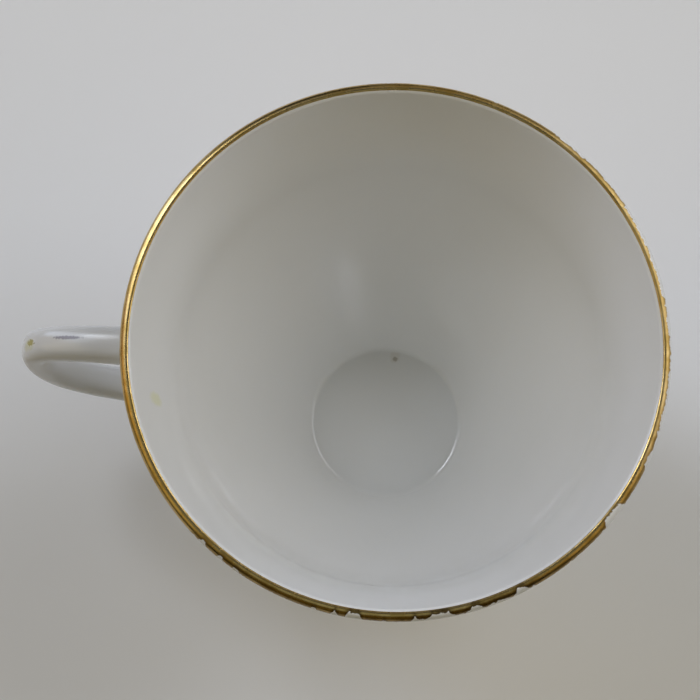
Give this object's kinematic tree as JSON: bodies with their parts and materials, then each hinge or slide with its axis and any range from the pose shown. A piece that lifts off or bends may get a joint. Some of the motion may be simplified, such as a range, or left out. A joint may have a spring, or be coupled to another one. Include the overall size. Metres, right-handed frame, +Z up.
{
  "type": "flat cup",
  "caption": "Glazed porcelain cup with a flared gilt lip, a bowl that tapers to a flat well, a low foot ring and a loop handle, for holding a hot drink.",
  "frame": {"origin": "centre of the foot ring's standing face", "axes": "+Z up along the bowl's axis, -X towards the handle, +Y across the handle's plane"},
  "size_m": [0.102, 0.084, 0.068],
  "materials": {
    "porcelain": "clear glaze over white porcelain",
    "biscuit": "glazed sides, bare standing face",
    "gilding": "burnished gilding, worn along the outer edge"
  },
  "bodies": {
    "root": {"bowl": "porcelain", "foot_ring": "biscuit", "handle": "porcelain", "upper_slip_joint": "porcelain", "lower_slip_joint": "porcelain", "rim_gilding": "gilding"}
  },
  "joints": []
}
